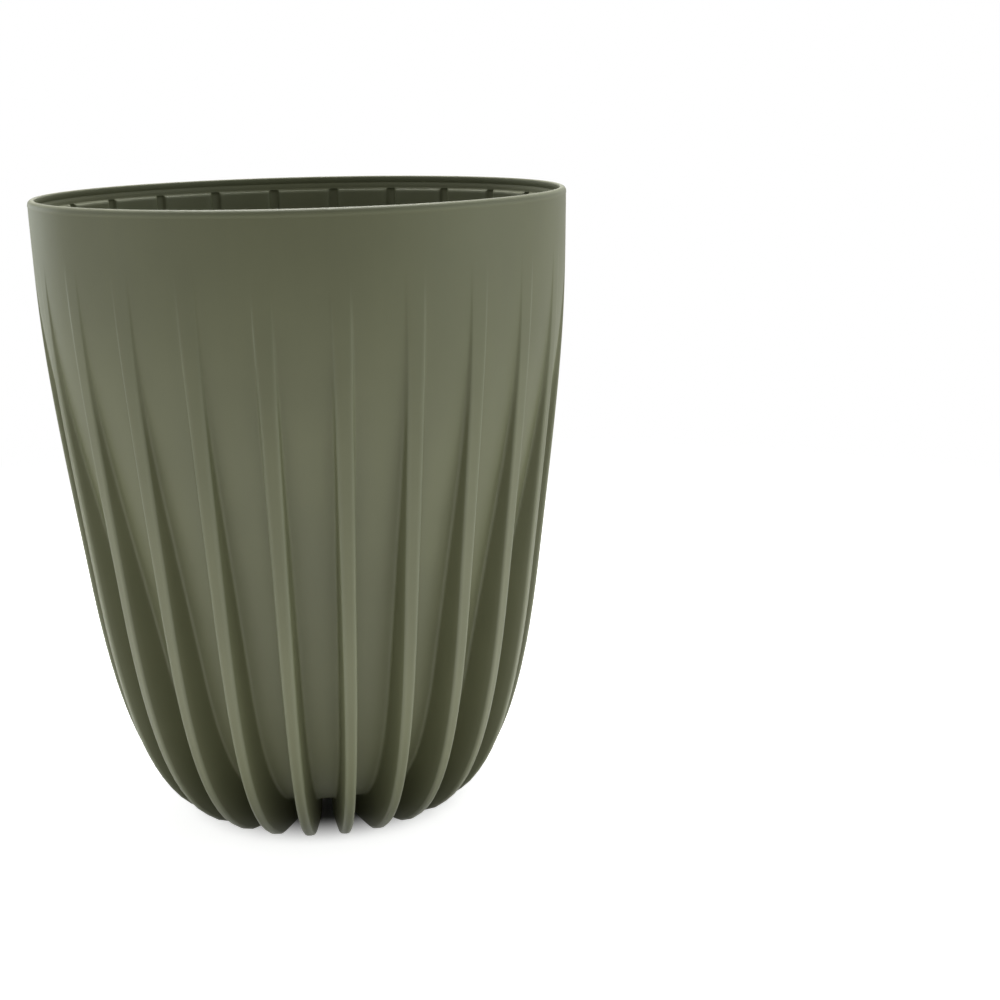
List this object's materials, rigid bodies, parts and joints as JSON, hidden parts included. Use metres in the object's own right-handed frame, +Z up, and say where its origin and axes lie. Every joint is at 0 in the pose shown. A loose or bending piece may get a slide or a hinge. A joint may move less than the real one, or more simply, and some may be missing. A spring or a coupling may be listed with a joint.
{
  "type": "plastic planter",
  "caption": "Tall round planter: a finned olive shell with a smooth inner pot and a perforated drainage insert standing in it.",
  "frame": {"origin": "centre of the circle on which the fins stand on the ground", "axes": "+Z up along the planter's axis; -Y is the side that the picture shows, between two fins"},
  "size_m": [0.25, 0.25, 0.3],
  "materials": {
    "shell_plastic": "matte olive moulded plastic, finely grained",
    "pot_plastic": "glossy dark olive moulded plastic",
    "insert_plastic": "satin brown-black moulded plastic"
  },
  "bodies": {
    "root": {"finned_shell": "shell_plastic", "inner_pot": "pot_plastic", "drainage_insert": "insert_plastic"}
  },
  "joints": []
}
